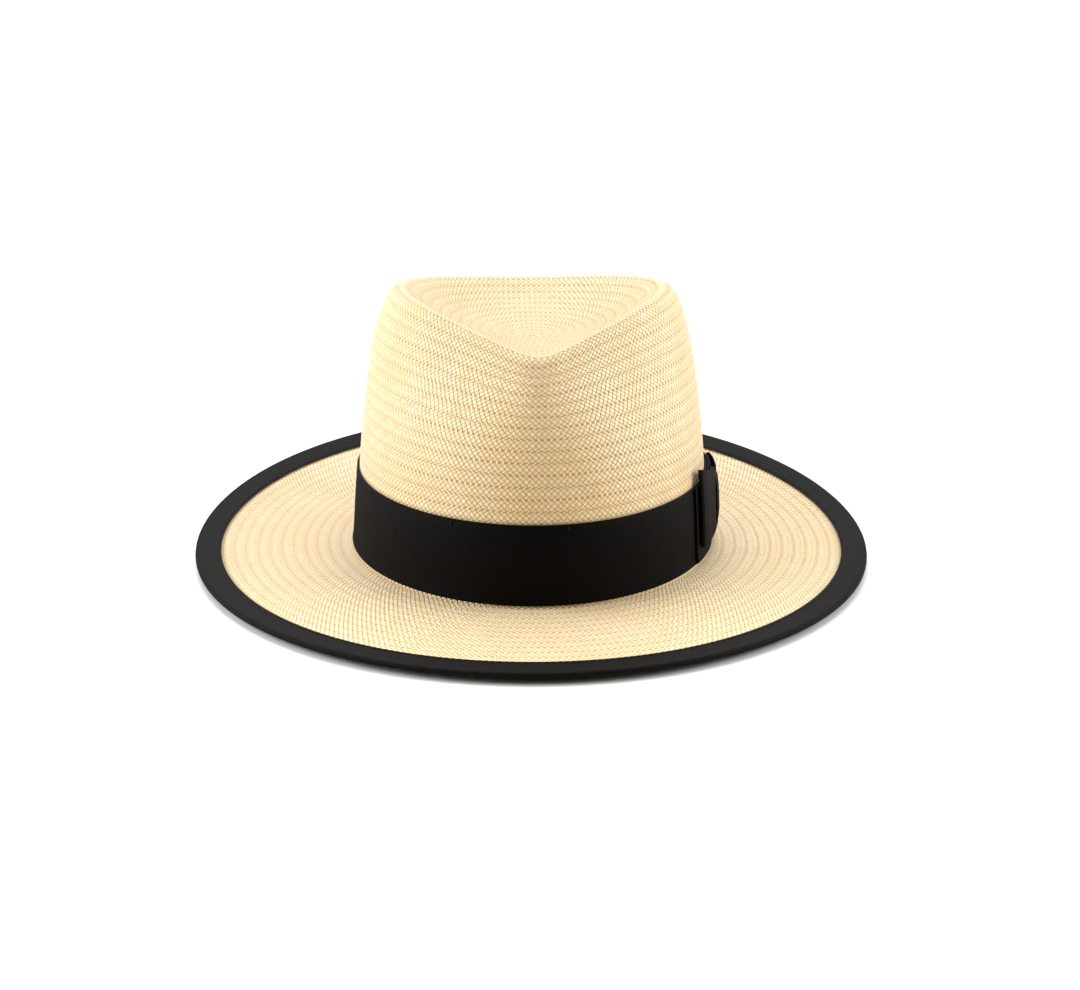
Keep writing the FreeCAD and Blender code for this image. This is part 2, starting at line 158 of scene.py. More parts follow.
# %% Points of the straw
def loop_weights(s):
    """How much each control loop pulls at station s: the clamped uniform cubic B-spline, built up
    degree by degree, each weight a blend of two neighbours of the degree below."""
    spans = int(LAST)
    knots = np.concatenate([np.zeros(3), np.arange(spans + 1.0), np.full(3, LAST)])
    s = np.clip(s, 0, LAST - 1e-9)[:, None]
    weights = ((knots[:-1] <= s) & (s < knots[1:])).astype(float)
    for degree in (1, 2, 3):
        span = knots[degree:] - knots[:-degree]
        share = np.where(span > 0, (s - knots[:-degree]) / np.where(span > 0, span, 1), 0)
        weights = share[:, :-1] * weights[:, :-1] + (1 - share[:, 1:]) * weights[:, 1:]
    return weights


def lengths_along(line):
    """Length along a line of points, from its first to each of them: the steps, added up."""
    return np.concatenate([[0.0], np.cumsum(np.linalg.norm(np.diff(line, axis=0), axis=-1))])


def face_point(t, s):
    """The straw's outer face: the control loops at t, added up with the weights at s."""
    t, s = np.broadcast_arrays(np.asarray(t, float), np.asarray(s, float))
    points = np.einsum("nk,kcn->nc", loop_weights(s.ravel()), control_loops(t.ravel()))
    return points.reshape(t.shape + (3,))


def straw(t, s, offset=0.0):
    """The outer face moved along its normal. A positive offset is outside the crown and above the
    brim. The normal is the cross product of the steps to the neighbours in t and in s."""
    step = 1e-3
    along = face_point(t + step, s) - face_point(t - step, s)
    upward = face_point(t, np.minimum(s + step, LAST)) - face_point(t, np.maximum(s - step, 0))
    normal = np.cross(along, upward)
    length = np.linalg.norm(normal, axis=-1, keepdims=True)
    normal = np.where(length > 1e-9, normal / np.maximum(length, 1e-9), [0.0, 0.0, 1.0])
    return face_point(t, s) + normal * np.asarray(offset, float)[..., None]


print("middle of the crown, in millimetres:", face_point(0.0, LAST).round(1))


# %% Stations by height and by distance
fine = np.linspace(0, LAST, 2901)
side_line = face_point(np.full_like(fine, np.pi / 2), fine)
wall = (fine > 9) & (fine < 24)
brim = fine < 10


def station_at(height):
    """The station on the crown's wall this high above the brim, read from the line at the side."""
    return np.interp(height, side_line[wall, 2] - BRIM_TOP, fine[wall])


def station_out(distance):
    """The station on the brim this far from the foot of the crown, read from the same line."""
    return np.interp(-distance, FOOT_WIDTH - side_line[brim, 0], fine[brim])


_, straw_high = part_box("straw_body")
ridge_top = side_line[:, 2].max()
print("top of the ridge here and in the CAD model:", round(ridge_top, 2), round(straw_high.z / MM, 2))

# %% [markdown]
# ## Turning surfaces into meshes
# Each piece is one or more closed shells: an outer skin, an inner skin, and walls between their
# borders. Blender's Solidify could add the second skin, but written out it stays exact, and the
# texture coordinates can be given corner by corner, in real units.


# %% Shells from grids of points
def quads(rows, columns, around):
    """Corner numbers of a grid's faces. around joins the last column to the first."""
    i = np.arange(rows - 1)[:, None]
    j = np.arange(columns if around else columns - 1)
    k = (j + 1) % columns
    here, above = i * columns, (i + 1) * columns
    return np.stack([here + j, here + k, above + k, above + j], axis=-1).reshape(-1, 4)


def quad_corners(table):
    """The same corners of a table with one more column than a joined grid has."""
    parts = [table[:-1, :-1], table[:-1, 1:], table[1:, 1:], table[1:, :-1]]
    return np.stack(parts, axis=2).reshape(-1, 4, table.shape[-1])


def grid_uv(along, across):
    """Texture coordinates of a grid's points: along its rows first, then across them."""
    return np.stack(np.meshgrid(along, across), axis=-1)


def wall_between(one, other, uv_line):
    """A strip of faces between two lines of vertices, with the texture line on both."""
    faces = np.stack([one[1:], one[:-1], other[:-1], other[1:]], axis=-1)
    return faces, np.stack([uv_line[1:], uv_line[:-1], uv_line[:-1], uv_line[1:]], axis=1)


print("faces of a grid of 3 by 4 points, open and joined:", len(quads(3, 4, False)), len(quads(3, 4, True)))


# %% Closed shells
def outward(points, faces, corners):
    """Turn every face of a closed shell over if the volume that its faces enclose is negative."""
    volume = 0.0
    for group in faces:
        for k in range(1, group.shape[1] - 1):
            a, b, c = points[group[:, 0]], points[group[:, k]], points[group[:, k + 1]]
            volume += np.einsum("ij,ij->", a, np.cross(b, c))
    if volume < 0:
        faces = [group[:, ::-1] for group in faces]
        corners = [group[:, ::-1] for group in corners]
    return points, faces, corners


def closed_shell(outer, inner, uv, around=False):
    """Outer and inner skin of the same grid, with walls round their borders."""
    rows, columns = outer.shape[:2]
    number = np.arange(rows * columns).reshape(rows, columns)
    if around:
        number = np.concatenate([number, number[:, :1]], axis=1)
    inside = number + rows * columns
    skin = quads(rows, columns, around)
    faces = [skin, skin[:, ::-1] + rows * columns]
    corners = [quad_corners(uv), quad_corners(uv)[:, ::-1]]
    borders = [(number[0], inside[0], uv[0]), (number[-1][::-1], inside[-1][::-1], uv[-1][::-1])]
    if not around:
        borders.append((number[:, 0][::-1], inside[:, 0][::-1], uv[:, 0][::-1]))
        borders.append((number[:, -1], inside[:, -1], uv[:, -1]))
    for one, other, line in borders:
        strip, strip_uv = wall_between(one, other, line)
        faces.append(strip)
        corners.append(strip_uv)
    points = np.concatenate([outer.reshape(-1, 3), inner.reshape(-1, 3)])
    return outward(points, faces, corners)


def thick_sheet(middle, thickness, uv, relief=0.0):
    """A sheet with its middle surface given. Both skins stand off it along its normal, by half the
    thickness plus the relief, which may differ from point to point."""
    normal = np.cross(np.gradient(middle, axis=0), np.gradient(middle, axis=1))
    normal /= np.linalg.norm(normal, axis=-1, keepdims=True)
    lift = normal * (thickness / 2 + np.broadcast_to(relief, middle.shape[:2]))[..., None]
    return closed_shell(middle + lift, middle - lift, uv)


# %% One Blender object from its shells
SHARPEST = np.radians(50)     # faces that meet at a wider angle than this keep a crisp edge


def new_piece(name, shells, finish, stands_for):
    """Join the shells in one mesh at the origin, in metres, hang it on the root, and hide the CAD part that
    it stands for.
    """
    start = np.cumsum([0] + [len(points) for points, _, _ in shells])
    points = np.concatenate([points for points, _, _ in shells])
    groups = [group + first for (_, faces, _), first in zip(shells, start) for group in faces]
    corners = [group.reshape(-1, 2) for _, _, group_list in shells for group in group_list]
    mesh = bpy.data.meshes.new(name)
    mesh.from_pydata((points * MM).tolist(), [], [face for group in groups for face in group.tolist()])
    mesh.uv_layers.new(name="UVMap").data.foreach_set("uv", np.concatenate(corners).ravel())
    mesh.polygons.foreach_set("use_smooth", np.ones(len(mesh.polygons), bool))
    mesh.set_sharp_from_angle(angle=SHARPEST)
    mesh.materials.append(finish)
    piece = bpy.data.objects.new(name, mesh)
    bpy.context.scene.collection.objects.link(piece)
    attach(piece, "root")
    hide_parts(stands_for)
    print(name, "has", sum(len(face.vertices) - 2 for face in mesh.polygons), "triangles")
    return piece


# %% [markdown]
# ## Finishes
# Every finish is a small tree of nodes on the Principled shader. Weave, ribs and twist follow the
# texture coordinates of the piece, which are real lengths or counts of strands, and slow changes of
# tone read the object's own coordinates. Inputs are given by number where their names repeat: a Map
# Range reads from 1 and 2 and gives 3 and 4, and a Mix of colours goes from 6 to 7 as 0 grows.


# %% Helpers for finishes
def linear(hex_colour):
    """An sRGB hex value as linear light: below 0.04045 a straight line, above it a power of 2.4."""
    value = np.array([int(hex_colour[i:i + 2], 16) for i in (0, 2, 4)]) / 255
    light = np.where(value <= 0.04045, value / 12.92, ((value + 0.055) / 1.055) ** 2.4)
    return (*light.tolist(), 1.0)


def add(tree, kind, inputs=None, **settings):
    """Add a node, give it its settings, and fill its inputs with values, nodes or sockets."""
    node = tree.nodes.new("ShaderNode" + kind)
    for name, value in settings.items():
        setattr(node, name, value)
    for key, value in (inputs or {}).items():
        if isinstance(value, bpy.types.Node):
            value = value.outputs[0]
        if isinstance(value, bpy.types.NodeSocket):
            tree.links.new(value, node.inputs[key])
        else:
            node.inputs[key].default_value = value
    return node


print("half grey is this much of the light of white:", round(linear("808080")[0], 3))


def new_finish(name, **shader_values):
    """A material with its Principled shader set. Returns the material, its tree and the shader."""
    finish = bpy.data.materials.new(name)
    finish.use_nodes = True
    shader = finish.node_tree.nodes["Principled BSDF"]
    for key, value in shader_values.items():
        shader.inputs[key.replace("_", " ")].default_value = value
    return finish, finish.node_tree, shader


# %% [markdown]
# ### Woven toquilla straw
# The real cloth is split palm leaf, 1 to 2 mm wide, woven over and under on the slant, then bleached
# and blocked. The eye sees rows of short cream dashes, each strand a little pinker, greener or more
# golden than the next, with honey-coloured gaps between them that open where two courses meet. The
# gaps are darkened with their depth, partly the straw's own honey tone and partly a painted shade in
# the hollows between strands. The dashes of one family are tinted golden, a painted shade for the
# raking light that picks out one slant. The texture coordinates count strands: their sum numbers one
# family of strands and their difference the other, and where the two numbers add up to an even one
# the first family is on top.

# %% Straw finish
STRANDS = 2                   # rows of dashes in a course
STRAND_SHARE = 0.78           # a strand covers this much of its pitch
SOFT_EDGE = 0.2               # and fades out over this much to each side of its edge
DIVE = 0.35                   # how far a strand sinks where it goes under the next one
STRAND_TONES = (
    (0.0, "F8E5BC"), (0.22, "F4DCA6"), (0.45, "FBEAC8"), (0.62, "F0DAA4"), (0.8, "F7E2BE"), (1.0, "ECD298"),
)


def straw_finish():
    """A point's distance from the middle of each strand is |2 x fraction of its count - 1|. The strand
    on top covers it while its own distance stays below STRAND_SHARE, and its height is that cover
    times 1 - DIVE x (distance from the middle of the strand it crosses) cubed."""
    finish, tree, shader = new_finish(
        "woven_toquilla_straw", Specular_IOR_Level=0.7, Sheen_Weight=0.6, Sheen_Roughness=0.45
    )
    shader.inputs["Sheen Tint"].default_value = linear("FFF8EA")
    place = add(tree, "UVMap", uv_map="UVMap")
    axes = add(tree, "SeparateXYZ", {0: place})
    across, number = [], []
    for family in ("ADD", "SUBTRACT"):
        count = add(tree, "Math", {0: axes.outputs[0], 1: axes.outputs[1]}, operation=family)
        part = add(tree, "Math", {0: count}, operation="FRACT")
        centred = add(tree, "Math", {0: part, 1: 2.0, 2: -1.0}, operation="MULTIPLY_ADD")
        across.append(add(tree, "Math", {0: centred}, operation="ABSOLUTE"))
        number.append(add(tree, "Math", {0: count}, operation="FLOOR"))
    both = add(tree, "Math", {0: number[0], 1: number[1]}, operation="ADD")
    second_on_top = add(tree, "Math", {0: both, 1: 2.0}, operation="FLOORED_MODULO")
    over = add(tree, "Mix", {0: second_on_top, 2: across[0], 3: across[1]})
    under = add(tree, "Mix", {0: second_on_top, 2: across[1], 3: across[0]})

    course = add(tree, "Math", {0: axes.outputs[1], 1: 1 / STRANDS}, operation="MULTIPLY")
    from_line = add(tree, "Math", {0: course, 1: 0.5}, operation="PINGPONG")
    near_line = {1: 0.04, 2: 0.16, 3: 0.3, 4: 0.0}
    opening = add(tree, "MapRange", {0: from_line, **near_line}, interpolation_type="SMOOTHSTEP")
    opened = add(tree, "Math", {0: over, 1: opening}, operation="ADD")
    edges = {1: STRAND_SHARE - SOFT_EDGE, 2: STRAND_SHARE + SOFT_EDGE, 3: 1.0, 4: 0.0}
    covered = add(tree, "MapRange", {0: opened, **edges}, interpolation_type="SMOOTHSTEP")
    bend = add(tree, "Math", {0: under, 1: 3.0}, operation="POWER")
    arch = add(tree, "Math", {0: bend, 1: -DIVE, 2: 1.0}, operation="MULTIPLY_ADD")
    height = add(tree, "Math", {0: covered, 1: arch}, operation="MULTIPLY")

    apart = add(tree, "Math", {0: number[1], 1: 5000.5}, operation="ADD")
    top_strand = add(tree, "Mix", {0: second_on_top, 2: number[0], 3: apart})
    chance = add(tree, "TexWhiteNoise", {"W": top_strand}, noise_dimensions="1D")
    tones = add(tree, "ValToRGB", {0: chance.outputs["Value"]})
    for position, _ in STRAND_TONES[1:-1]:
        tones.color_ramp.elements.new(position)
    for stop, (position, tone) in zip(tones.color_ramp.elements, STRAND_TONES):
        stop.position = position
        stop.color = linear(tone)
    where = add(tree, "TexCoord")
    drift = add(tree, "TexNoise", {"Vector": where.outputs["Object"], "Scale": 22.0, "Detail": 3.0})
    warm = add(tree, "MapRange", {0: drift, 1: 0.35, 2: 0.7, 3: 0.0, 4: 0.3})
    toned = add(tree, "Mix", {0: warm, 6: tones, 7: linear("E9C87E")}, data_type="RGBA")
    # painted shade: the dashes where the second family is on top are tinted golden, standing in for the
    # raking light that picks out one slant
    painted_slant_shade = add(tree, "Math", {0: second_on_top, 1: 0.3}, operation="MULTIPLY")
    shaded = add(tree, "Mix", {0: painted_slant_shade, 6: toned.outputs[2], 7: linear("DDB060")}, data_type="RGBA")
    # gaps darkened with depth: partly the straw's own honey tone, partly painted shade in the hollows
    # between strands
    gap_tone_and_shade = add(tree, "MapRange", {0: height, 1: 0.0, 2: 0.9, 3: 0.8, 4: 0.0})
    colour = add(tree, "Mix", {0: gap_tone_and_shade, 6: shaded.outputs[2], 7: linear("A9741E")}, data_type="RGBA")
    tree.links.new(colour.outputs[2], shader.inputs["Base Color"])

    bump = add(tree, "Bump", {"Strength": 1.0, "Distance": 0.0006, "Height": height})
    tree.links.new(bump.outputs[0], shader.inputs["Normal"])
    polish = add(tree, "MapRange", {0: covered, 1: 0.0, 2: 1.0, 3: 0.8, 4: 0.46})
    tree.links.new(polish.outputs[0], shader.inputs["Roughness"])
    return finish


STRAW_FINISH = straw_finish()
print("straw finish has", len(STRAW_FINISH.node_tree.nodes), "nodes")

# %% [markdown]
# ### Grosgrain ribbon
# Grosgrain is a plain weave of fine black rayon over thick cords that run across the ribbon. The
# cords are real ribs in the mesh; the finish adds the fine threads that cover them, a painted shade
# in the troughs between ribs, and the soft bloom that cloth shows where it turns away from the eye.


# %% Ribbon finishes
def ribbon_finish(name, base, bloom, bloom_weight, rib, specular):
    """rib is the spacing of the ribs, in millimetres, along the first texture coordinate. Their wave is
    the cosine of 2 pi x length / rib, and the colour goes from near black in the troughs, a painted
    shade, to base on its crests."""
    finish, tree, shader = new_finish(
        name, Roughness=0.6, Specular_IOR_Level=specular, Sheen_Weight=bloom_weight, Sheen_Roughness=0.35
    )
    shader.inputs["Sheen Tint"].default_value = linear(bloom)
    place = add(tree, "UVMap", uv_map="UVMap")
    axes = add(tree, "SeparateXYZ", {0: place})
    turn = add(tree, "Math", {0: axes.outputs[0], 1: 2 * np.pi / rib}, operation="MULTIPLY")
    wave = add(tree, "Math", {0: turn}, operation="COSINE")
    stretch = add(tree, "Mapping", {"Vector": place, "Scale": (9.0, 1.4, 1.0)})
    threads = add(tree, "TexNoise", {"Vector": stretch, "Scale": 1.0, "Detail": 2.0})
    # painted shade: the troughs between ribs go near black, standing in for the shade between the cords
    crest = add(tree, "MapRange", {0: wave, 1: -1.0, 2: 1.0, 3: 0.0, 4: 0.7})
    shade = add(tree, "Math", {0: threads, 1: 0.5, 2: crest}, operation="MULTIPLY_ADD")
    colour = add(tree, "Mix", {0: shade, 6: linear("050505"), 7: linear(base)}, data_type="RGBA")
    tree.links.new(colour.outputs[2], shader.inputs["Base Color"])
    relief = add(tree, "Math", {0: wave, 1: 0.5, 2: threads}, operation="MULTIPLY_ADD")
    bump = add(tree, "Bump", {"Strength": 0.5, "Distance": 0.00012, "Height": relief})
    tree.links.new(bump.outputs[0], shader.inputs["Normal"])
    return finish


RIB = 1.0                     # cords of the band's ribbon
BINDING_RIB = 1.2             # the binding's are a little coarser
BAND_FINISH = ribbon_finish("black_grosgrain", "0A0705", "A0907F", 0.025, RIB, 0.05)
BINDING_FINISH = ribbon_finish("charcoal_grosgrain_binding", "0F0E0D", "B8B4B6", 0.04, BINDING_RIB, 0.06)
SATIN_FINISH = ribbon_finish("ivory_satin_ribbon", "D9C7A3", "FFF4DC", 0.3, 0.5, 0.6)
print("ribbon finishes:", BAND_FINISH.name, BINDING_FINISH.name, SATIN_FINISH.name)

# %% [markdown]
# ### Thread, leather and paper
# Sewing thread is spun from two plies, so a slanted stripe runs round it. The sweatband is tanned
# sheepskin: fine pebbled grain, a satin face from its wax, and paler creases. The tab is a slip of
# uncoated paper, left blank.


# %% Thread finish
def thread_finish(name, dark, light):
    """A wave on the slant of the texture coordinates stands for the twist, from dark to light."""
    finish, tree, shader = new_finish(name, Roughness=0.7, Specular_IOR_Level=0.25)
    place = add(tree, "UVMap", uv_map="UVMap")
    twist_sizes = {"Vector": place, "Scale": 0.5, "Distortion": 0.6}
    twist = add(tree, "TexWave", twist_sizes, bands_direction="DIAGONAL").outputs["Fac"]
    colour = add(tree, "Mix", {0: twist, 6: linear(dark), 7: linear(light)}, data_type="RGBA")
    bump = add(tree, "Bump", {"Strength": 0.6, "Distance": 0.00008, "Height": twist})
    tree.links.new(colour.outputs[2], shader.inputs["Base Color"])
    tree.links.new(bump.outputs[0], shader.inputs["Normal"])
    return finish


BLACK_THREAD = thread_finish("black_sewing_thread", "0A0A0A", "1C1C1D")
NATURAL_THREAD = thread_finish("natural_sewing_thread", "B99A6B", "E0C79A")
print("thread finishes:", BLACK_THREAD.name, NATURAL_THREAD.name)


# %% Leather finish
def leather_finish(name, base, worn, grain):
    """grain is the width of one pebble of the grain, in millimetres."""
    finish, tree, shader = new_finish(name, Specular_IOR_Level=0.45)
    where = add(tree, "TexCoord")
    pebbles = add(tree, "TexVoronoi", {"Vector": where.outputs["Object"], "Scale": 1000 / grain})
    creases = add(tree, "TexNoise", {"Vector": where.outputs["Object"], "Scale": 160.0, "Detail": 5.0})
    patches = add(tree, "TexNoise", {"Vector": where.outputs["Object"], "Scale": 18.0, "Detail": 2.0})
    tone = add(tree, "MapRange", {0: patches, 1: 0.3, 2: 0.7, 3: 0.0, 4: 1.0})
    colour = add(tree, "Mix", {0: tone, 6: linear(base), 7: linear(worn)}, data_type="RGBA")
    tree.links.new(colour.outputs[2], shader.inputs["Base Color"])
    polish = add(tree, "MapRange", {0: creases, 1: 0.3, 2: 0.7, 3: 0.38, 4: 0.62})
    tree.links.new(polish.outputs[0], shader.inputs["Roughness"])
    heights = {0: creases, 1: 0.6, 2: pebbles.outputs["Distance"]}
    relief = add(tree, "Math", heights, operation="MULTIPLY_ADD")
    bump = add(tree, "Bump", {"Strength": 0.35, "Distance": 0.0003, "Height": relief})
    tree.links.new(bump.outputs[0], shader.inputs["Normal"])
    return finish


LEATHER_FINISH = leather_finish("tan_sheepskin", "8A5630", "A36B40", 0.9)
REED_FINISH = leather_finish("dark_sheepskin_over_reed", "6E4225", "84532F", 0.7)
print("leather finishes:", LEATHER_FINISH.name, REED_FINISH.name)


# %% Paper finish
def paper_finish():
    """Fine noise stands for the fibres, in the colour and in a slight relief."""
    finish, tree, shader = new_finish("uncoated_paper", Roughness=0.85, Specular_IOR_Level=0.2)
    where = add(tree, "TexCoord")
    fibres = add(tree, "TexNoise", {"Vector": where.outputs["Object"], "Scale": 900.0, "Detail": 4.0})
    colour = add(tree, "Mix", {0: fibres, 6: linear("E9E2D2"), 7: linear("F7F3E8")}, data_type="RGBA")
    bump = add(tree, "Bump", {"Strength": 0.3, "Distance": 0.0001, "Height": fibres})
    tree.links.new(colour.outputs[2], shader.inputs["Base Color"])
    tree.links.new(bump.outputs[0], shader.inputs["Normal"])
    return finish


PAPER_FINISH = paper_finish()
print("paper finish:", PAPER_FINISH.name)

# %% [markdown]
# ## The woven straw
# The weaver starts at the middle of the crown and works outwards in courses, adding strands as the
# rings grow. Each course leaves a shallow line round the hat. The lines are real grooves in the
# mesh, and the weave inside each course is drawn by the finish, with a whole number of strands in
# every ring so that it closes on itself. Every dash is alike and 2.8 mm long, so the pattern is more
# even than hand weaving.

# %% Courses along the cloth
COURSE = 5.6                  # width of a course of the weave
DASH = 2.8                    # from one dash of the weave to the next, round the hat
COLUMNS = 240
ROWS = 6                      # rows of the mesh in a course
GROOVE = 0.25                 # depth of the line between two courses

around = np.linspace(-np.pi, np.pi, COLUMNS + 1)[:-1]
lines = face_point(around[None, ::8], fine[:, None])
step_lengths = np.linalg.norm(np.diff(lines, axis=0), axis=-1).mean(axis=1)
from_edge = np.concatenate([[0.0], np.cumsum(step_lengths)])
foot = np.interp(station_out(0.5), fine, from_edge)
brim_courses = round(foot / COURSE)
crown_courses = round((from_edge[-1] - foot) / COURSE)
print("cloth from edge to middle:", from_edge[-1].round(1), "mm")
print("courses on the brim and on the crown:", brim_courses, crown_courses)

course_ends = np.concatenate([
    np.linspace(0, foot, brim_courses + 1),
    np.linspace(foot, from_edge[-1], crown_courses + 1)[1:],
])


# %% Rows and texture coordinates of the straw
def straw_rows(count):
    """Stations of the mesh rows, and for each row the course it is in and its share of it."""
    course = np.repeat(np.arange(brim_courses + crown_courses), count)
    share = np.tile(np.arange(count) / count, brim_courses + crown_courses)
    length = course_ends[course] + share * np.diff(course_ends)[course]
    return np.interp(length, from_edge, fine), course, share


def ring_lengths(k):
    """Length round the hat at the middle of course k, from the back to each column and back again."""
    middle = np.interp((course_ends[k] + course_ends[k + 1]) / 2, from_edge, fine)
    return lengths_along(face_point(np.append(around, around[0]), middle))


rings = [ring_lengths(k) for k in range(brim_courses + crown_courses)]
ring_counts = np.array([length / length[-1] * max(4, round(length[-1] / DASH)) for length in rings])
print("strands round the brim's edge and the crown:", ring_counts[0, -1], ring_counts[brim_courses + 8, -1])


def weave_corners(course, share):
    """Texture coordinates of each face's corners: strands round the ring, and strands along the line."""
    next_share = np.append(share[1:], 1.0)
    next_share[next_share == 0] = 1.0
    corners = np.empty((len(course), COLUMNS, 4, 2))
    left, right = ring_counts[course][:, :-1], ring_counts[course][:, 1:]
    corners[..., 0] = np.stack([left, right, right, left], axis=-1)
    corners[..., :2, 1] = (STRANDS * (course + share))[:, None, None]
    corners[..., 2:, 1] = (STRANDS * (course + next_share))[:, None, None]
    return corners


# %% Straw skins
def straw_skin(count, offset, groove):
    """A skin of the cloth from edge to middle, with a line pressed in where a course ends:
    the depth is groove times (|2 share - 1|) to the eighth power. Its last point is the pole."""
    stations, course, share = straw_rows(count)
    depth = groove * np.abs(2 * share - 1) ** 8
    grid = straw(around[None, :], stations[:, None], (offset - depth)[:, None] + 0 * around[None, :])
    pole = straw(np.zeros(1), np.full(1, LAST), offset + np.zeros(1))
    points = np.concatenate([grid.reshape(-1, 3), pole])
    rows, last = len(stations), (len(stations) - 1) * COLUMNS
    j = np.arange(COLUMNS)
    tip = np.stack([last + j, last + (j + 1) % COLUMNS, np.full(COLUMNS, rows * COLUMNS)], axis=-1)
    corners = weave_corners(course, share)
    tip_uv = corners[-1][:, :3].copy()
    tip_uv[:, 2, 0] = corners[-1][:, :2, 0].mean(axis=1)
    return points, [quads(rows, COLUMNS, True), tip], [corners[:-1].reshape(-1, 4, 2), tip_uv]


outer_points, outer_faces, outer_uv = straw_skin(ROWS, 0.0, GROOVE)
inner_points, inner_faces, inner_uv = straw_skin(2, -STRAW, -0.1)
rim = np.append(np.arange(COLUMNS), 0)
rim_line = np.stack([ring_counts[0], 0 * ring_counts[0]], axis=-1)
rim_faces, rim_uv = wall_between(rim, rim + len(outer_points), rim_line)
straw_shell = outward(
    np.concatenate([outer_points, inner_points]),
    outer_faces + [group[:, ::-1] + len(outer_points) for group in inner_faces] + [rim_faces],
    outer_uv + [group[:, ::-1] for group in inner_uv] + [rim_uv],
)
new_piece("woven_straw", [straw_shell], STRAW_FINISH, "straw_body")

# %% [markdown]
# ## The binding round the brim
# A bias-pressed grosgrain ribbon is folded over the cut edge and sewn through. Its ribs run straight
# out from the crown, over the edge and back underneath, so they show as fine bars. The section is a
# narrow U that follows the straw, carried round the hat, with the ribs as a wave along the way.

# %% Sizes and helpers of the binding
BINDING_WIDTH = 11.0
BINDING = 0.5
BINDING_RIB_DEPTH = 0.11
COLUMNS_PER_RIB = 3
FULL_TURN = np.linspace(0, 2 * np.pi, 1441)


def even_angles(station, offset, count):
    """Angles that divide the hat's line at this station into equal lengths, and that line's length."""
    line = straw(FULL_TURN, np.full_like(FULL_TURN, station), offset + 0 * FULL_TURN)
    length = lengths_along(line)
    return np.interp(np.arange(count) / count * length[-1], length, FULL_TURN), length[-1]


def nose(t, angle, radius):
    """The binding where it goes round the cut edge: a half circle about the middle of the straw."""
    top = straw(t, np.zeros_like(t))
    under = straw(t, np.zeros_like(t), np.full_like(t, -STRAW))
    up = (top - under) / STRAW
    out = np.stack([FOOT_LENGTH * np.sin(t), -FOOT_WIDTH * np.cos(t), 0 * t], axis=-1)
    out /= np.linalg.norm(out, axis=-1, keepdims=True)
    out -= up * np.einsum("ij,ij->i", out, up)[:, None]
    radius = np.asarray(radius)[..., None]
    return (top + under) / 2 + out * radius * np.cos(angle) + up * radius * np.sin(angle)


def binding_skin(t, lift):
    """Rows of the folded ribbon from its upper edge, round the nose, to its under edge. lift is how
    far it stands off the straw at each angle."""
    edge = station_out(BRIM_WIDTH - BINDING_WIDTH)
    shares = (1.0, 0.97, 0.5, 0.06)
    rows = [straw(t, np.full_like(t, edge * k), lift) for k in shares]
    rows += [nose(t, np.radians(turn), STRAW / 2 + lift) for turn in (60, 25, 0, -25, -60)]
    rows += [straw(t, np.full_like(t, edge * k), -STRAW - lift) for k in shares[::-1]]
    return np.stack(rows)


# %% Binding
_, rim_length = even_angles(0.0, 0.0, 2)
ribs = round(rim_length / BINDING_RIB)
t_binding, _ = even_angles(0.0, 0.0, ribs * COLUMNS_PER_RIB)
wave = np.cos(2 * np.pi * np.arange(len(t_binding)) / COLUMNS_PER_RIB)
binding_outer = binding_skin(t_binding, CLEAR + BINDING + BINDING_RIB_DEPTH / 2 * (wave - 1))
binding_inner = binding_skin(t_binding, CLEAR + 0 * wave)
binding_along = np.arange(len(t_binding) + 1) / COLUMNS_PER_RIB * BINDING_RIB
binding_uv = grid_uv(binding_along, np.linspace(0, 2 * BINDING_WIDTH + 3, len(binding_outer)))
edge_binding = new_piece(
    "edge_binding", [closed_shell(binding_outer, binding_inner, binding_uv, around=True)],
    BINDING_FINISH, "brim_binding",
)

# %% [markdown]
# ## The band
# A grosgrain ribbon 38 mm wide is steamed and pulled tight round the foot of the crown, with its
# ends under the bow. Its ribs stand upright. It is a strip of the straw's own surface, lifted off.

# %% Band
RIBBON_WIDTH = 38.0
RIBBON = 0.9
BAND_FOOT = 1.0               # lower edge of the band, above the brim
RIB_DEPTH = 0.1
band_heights = BAND_FOOT + np.array([0.0, 0.25, 1.6, 5.5, 11.0, 19.0, 28.0, 37.75, RIBBON_WIDTH])
band_stations = station_at(band_heights)
_, band_length = even_angles(station_at(RIBBON_WIDTH / 2), CLEAR, 2)
band_ribs = round(band_length / RIB)
t_band, _ = even_angles(station_at(RIBBON_WIDTH / 2), CLEAR, band_ribs * COLUMNS_PER_RIB)
band_wave = np.cos(2 * np.pi * np.arange(len(t_band)) / COLUMNS_PER_RIB)
selvedge = np.where(np.isin(band_heights, band_heights[[0, -1]]), 0.12, 0.0)[:, None]
band_lift = CLEAR + RIBBON + RIB_DEPTH / 2 * (band_wave - 1)[None, :] - selvedge
band_outer = straw(t_band[None, :], band_stations[:, None], band_lift)
band_inner = straw(t_band[None, :], band_stations[:, None], CLEAR + 0 * band_lift)
band_uv = grid_uv(np.arange(len(t_band) + 1) / COLUMNS_PER_RIB * RIB, band_heights)
band_ribbon = new_piece(
    "band_ribbon", [closed_shell(band_outer, band_inner, band_uv, around=True)],
    BAND_FINISH, "hat_band",
)

# %% [markdown]
# ## The bow
# A hatter's flat bow is made apart and sewn on: a tab of ribbon lies on the band, a loop is folded
# to the front and one to the back, and a short wrap of the same ribbon gathers them in the middle.
# Each part is a path carried across the ribbon's width, in coordinates that lie on the band: y along
# it, the height above its foot, and the lift off its face.

